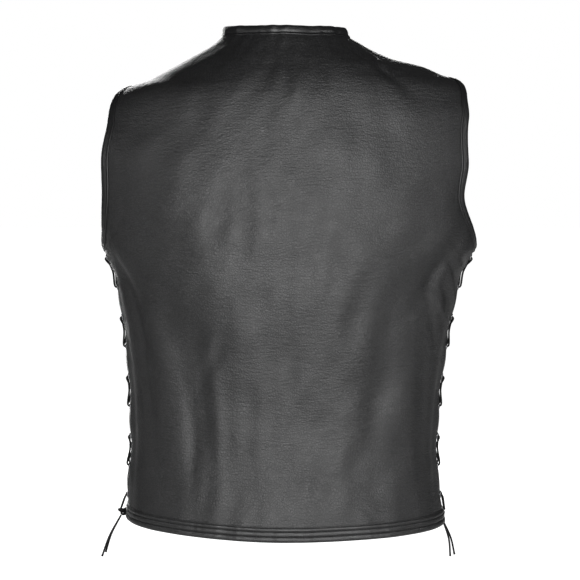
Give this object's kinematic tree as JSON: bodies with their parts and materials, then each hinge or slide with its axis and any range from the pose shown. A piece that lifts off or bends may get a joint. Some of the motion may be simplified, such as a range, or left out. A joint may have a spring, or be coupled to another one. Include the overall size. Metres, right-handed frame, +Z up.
{
  "type": "leather vest",
  "caption": "Collarless black leather vest with a one-piece back, bound neck and armholes, laced sides with hanging lace ends and a front closed by press studs.",
  "frame": {"origin": "between the wearer's shoulders, on the shoulder seams' plane and level with the foot of the neck, where the shoulders carry the vest", "axes": "+Z up, +X the wearer's left, +Y the wearer's back, so the closed front faces -Y"},
  "size_m": [0.4809, 0.2642, 0.6785],
  "materials": {
    "leather": "black pebbled cowhide, matt with a low sheen",
    "binding": "thin smooth black leather folded over the edges, slightly glossier",
    "lace": "round black leather lace, matt",
    "metal": "nickel plate, a little dulled"
  },
  "bodies": {
    "root": {"armhole_binding_left": "binding", "armhole_binding_right": "binding", "back": "leather", "eyelet_left_back_1": "metal", "eyelet_left_back_2": "metal", "eyelet_left_back_3": "metal", "eyelet_left_back_4": "metal", "eyelet_left_back_5": "metal", "eyelet_left_back_6": "metal", "eyelet_left_back_7": "metal", "eyelet_left_back_8": "metal", "eyelet_left_back_9": "metal", "eyelet_left_front_1": "metal", "eyelet_left_front_2": "metal", "eyelet_left_front_3": "metal", "eyelet_left_front_4": "metal", "eyelet_left_front_5": "metal", "eyelet_left_front_6": "metal", "eyelet_left_front_7": "metal", "eyelet_left_front_8": "metal", "eyelet_left_front_9": "metal", "eyelet_right_back_1": "metal", "eyelet_right_back_2": "metal", "eyelet_right_back_3": "metal", "eyelet_right_back_4": "metal", "eyelet_right_back_5": "metal", "eyelet_right_back_6": "metal", "eyelet_right_back_7": "metal", "eyelet_right_back_8": "metal", "eyelet_right_back_9": "metal", "eyelet_right_front_1": "metal", "eyelet_right_front_2": "metal", "eyelet_right_front_3": "metal", "eyelet_right_front_4": "metal", "eyelet_right_front_5": "metal", "eyelet_right_front_6": "metal", "eyelet_right_front_7": "metal", "eyelet_right_front_8": "metal", "eyelet_right_front_9": "metal", "front_left": "leather", "front_right": "leather", "hem_band_back": "leather", "hem_band_front_left": "leather", "hem_band_front_right": "leather", "knot_left": "lace", "knot_right": "lace", "lace_end_left_1": "lace", "lace_end_left_2": "lace", "lace_end_right_1": "lace", "lace_end_right_2": "lace", "lace_left": "lace", "lace_right": "lace", "neck_binding": "binding", "snap_1": "metal", "snap_2": "metal", "snap_3": "metal", "snap_4": "metal"}
  },
  "joints": []
}
